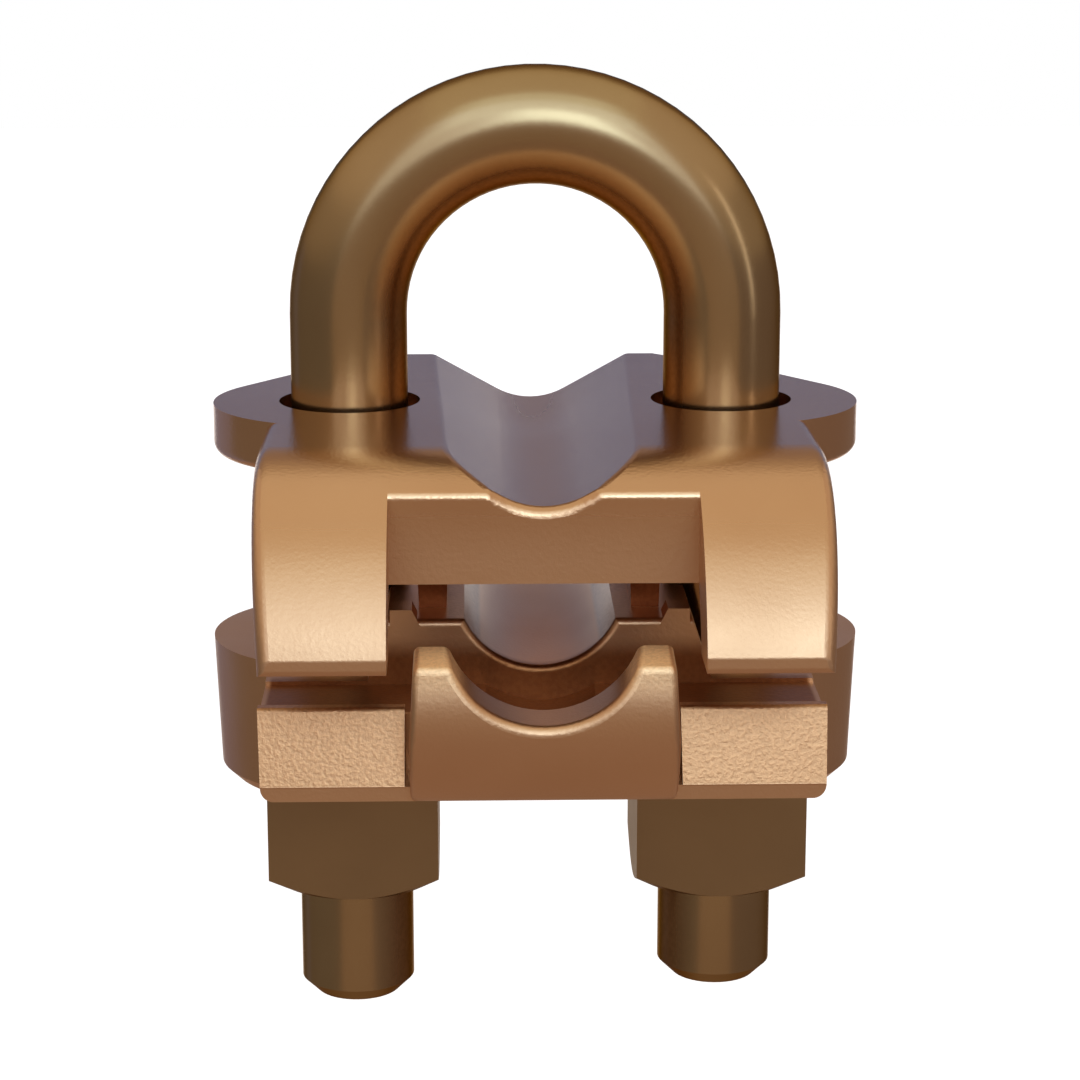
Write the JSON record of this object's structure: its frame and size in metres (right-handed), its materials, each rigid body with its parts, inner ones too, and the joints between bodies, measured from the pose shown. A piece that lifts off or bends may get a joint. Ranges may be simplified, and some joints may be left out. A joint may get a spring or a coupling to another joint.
{
  "type": "earth rod clamp",
  "caption": "Bronze U-bolt earth rod clamp: round-bar U-bolt through two interlocking cast jaws held by square nuts, with a rod seat and cable grooves along and across the rod.",
  "frame": {"origin": "Centre of the U-bolt's half-circle bend, where its middle plane meets the axis of the clamped rod.", "axes": "+X towards the right-hand leg seen from the finger side, +Y along the rod away from the fingers, +Z from the nuts towards the bend."},
  "size_m": [0.0534, 0.0574, 0.0781],
  "materials": {
    "bar_bronze": "smooth drawn bar, dull sheen",
    "cast_bronze": "polished casting with fine grain, rough as cast on the sills",
    "nut_bronze": "machined, dull"
  },
  "bodies": {
    "u_bolt": {"u_bolt": "bar_bronze"},
    "lower_jaw": {"lower_jaw": "cast_bronze"},
    "upper_jaw": {"upper_jaw": "cast_bronze"},
    "nut_left": {"nut_left": "nut_bronze"},
    "nut_right": {"nut_right": "nut_bronze"}
  },
  "joints": [
    {"name": "lower_jaw_slide", "type": "slide", "parent": "u_bolt", "child": "lower_jaw", "axis": [0, 0, 1], "range_m": [-0.009, 0.0025]},
    {"name": "upper_jaw_slide", "type": "slide", "parent": "lower_jaw", "child": "upper_jaw", "axis": [0, 0, 1], "range_m": [0, 0.0068]},
    {"name": "nut_left_spin", "type": "hinge", "parent": "lower_jaw", "child": "nut_left", "pos_m": [-0.0152, 0, -0.0432], "axis": [0, 0, 1], "range_deg": [-2045, 570]},
    {"name": "nut_right_spin", "type": "hinge", "parent": "lower_jaw", "child": "nut_right", "pos_m": [0.0152, 0, -0.0432], "axis": [0, 0, 1], "range_deg": [-2045, 570]}
  ],
  "couplings": [
    {"joint": "nut_left_spin", "follows": "lower_jaw_slide", "rad_per_m": 3957.9},
    {"joint": "nut_right_spin", "follows": "lower_jaw_slide", "rad_per_m": 3957.9}
  ]
}
